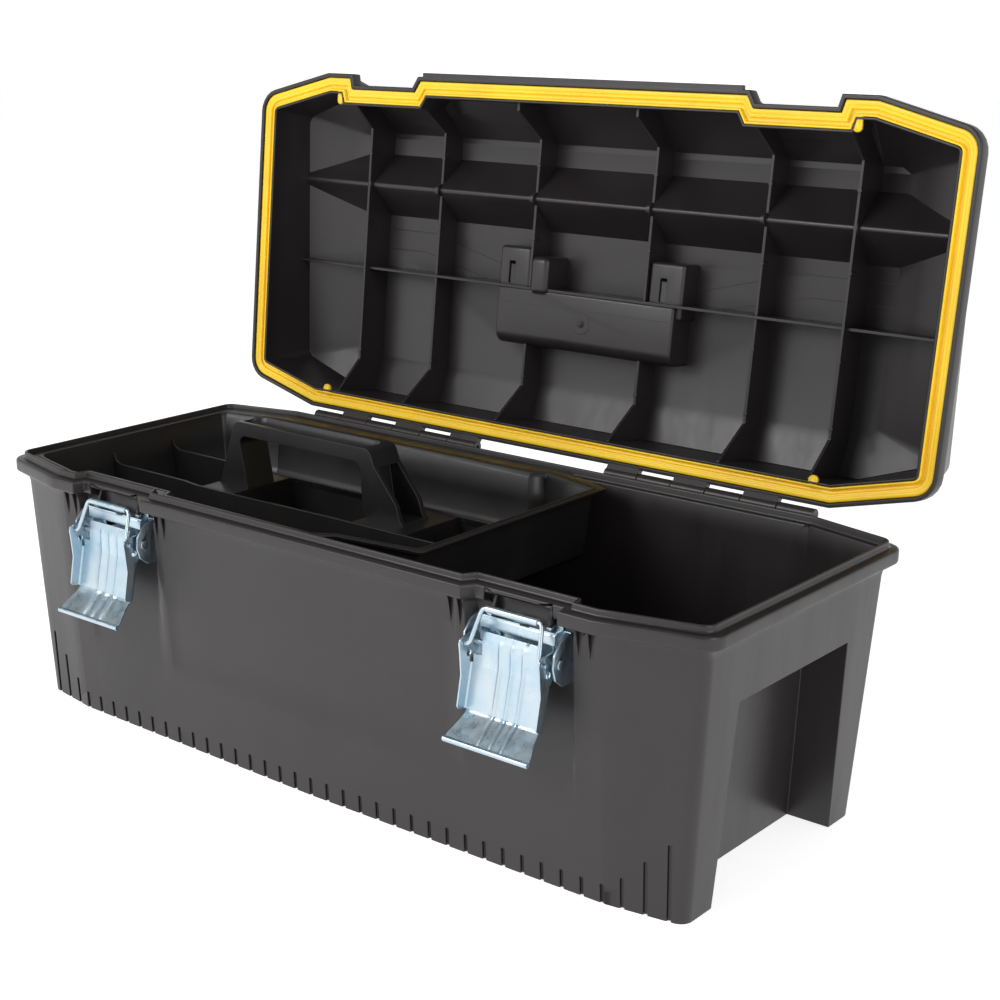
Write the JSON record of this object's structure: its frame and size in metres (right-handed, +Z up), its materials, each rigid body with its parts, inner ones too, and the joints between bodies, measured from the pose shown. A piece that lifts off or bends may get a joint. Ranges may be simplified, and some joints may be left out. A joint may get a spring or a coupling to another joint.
{
  "type": "carpenter toolbox",
  "caption": "Long carpenter's toolbox with a hinged ribbed lid, yellow lid seal, folding carry handle, draw latches and a lift-out tray.",
  "frame": {"origin": "centre of the flat underside of the tub", "axes": "+X along the box's length, +Y towards the hinges, +Z up; the latches are on the -Y side"},
  "size_m": [0.7124, 0.4337, 0.5263],
  "materials": {
    "black_foam": "satin, lightly textured structural foam",
    "tray_plastic": "satin moulded plastic",
    "yellow_seal": "smooth satin elastomer",
    "soft_grip": "matt soft-touch",
    "zinc_plate": "bright blue-white zinc plating",
    "pin_steel": "drawn steel wire"
  },
  "bodies": {
    "base": {"base_shell": "black_foam", "hinge_pin_left": "pin_steel", "hinge_pin_right": "pin_steel", "latch_bracket_left": "zinc_plate", "latch_rivet_left_a": "zinc_plate", "latch_rivet_left_b": "zinc_plate", "latch_pin_left": "pin_steel", "latch_bracket_right": "zinc_plate", "latch_rivet_right_a": "zinc_plate", "latch_rivet_right_b": "zinc_plate", "latch_pin_right": "pin_steel"},
    "lid": {"lid_shell": "black_foam", "lid_seal": "yellow_seal", "handle_pin_left": "pin_steel", "handle_pin_right": "pin_steel"},
    "carry_handle": {"carry_handle": "black_foam", "handle_grip": "soft_grip"},
    "tray": {"tray": "tray_plastic"},
    "lever_left": {"latch_lever_left": "zinc_plate"},
    "bail_left": {"latch_bail_left": "zinc_plate"},
    "lever_right": {"latch_lever_right": "zinc_plate"},
    "bail_right": {"latch_bail_right": "zinc_plate"}
  },
  "joints": [
    {"name": "lid_hinge", "type": "hinge", "parent": "base", "child": "lid", "pos_m": [0, 0.1594, 0.2129], "axis": [1, 0, 0], "range_deg": [0, 95.76]},
    {"name": "carry_handle_hinge", "type": "hinge", "parent": "lid", "child": "carry_handle", "pos_m": [0, 0.23718, 0.36526], "axis": [1, 0, 0], "range_deg": [0, 90]},
    {"name": "tray_lift", "type": "slide", "parent": "base", "child": "tray", "axis": [0, 0, -1], "range_m": [-0.16, 0]},
    {"name": "lever_left_hinge", "type": "hinge", "parent": "base", "child": "lever_left", "pos_m": [-0.206, -0.143, 0.174], "axis": [-1, 0, 0], "range_deg": [0, 75]},
    {"name": "bail_left_hinge", "type": "hinge", "parent": "lever_left", "child": "bail_left", "pos_m": [-0.206, -0.154, 0.175], "axis": [1, 0, 0], "range_deg": [0, 120]},
    {"name": "lever_right_hinge", "type": "hinge", "parent": "base", "child": "lever_right", "pos_m": [0.206, -0.143, 0.174], "axis": [-1, 0, 0], "range_deg": [0, 75]},
    {"name": "bail_right_hinge", "type": "hinge", "parent": "lever_right", "child": "bail_right", "pos_m": [0.206, -0.154, 0.175], "axis": [1, 0, 0], "range_deg": [0, 120]}
  ],
  "couplings": [
    {"joint": "bail_left_hinge", "follows": "lever_left_hinge", "ratio": 1.6},
    {"joint": "bail_right_hinge", "follows": "lever_right_hinge", "ratio": 1.6}
  ]
}
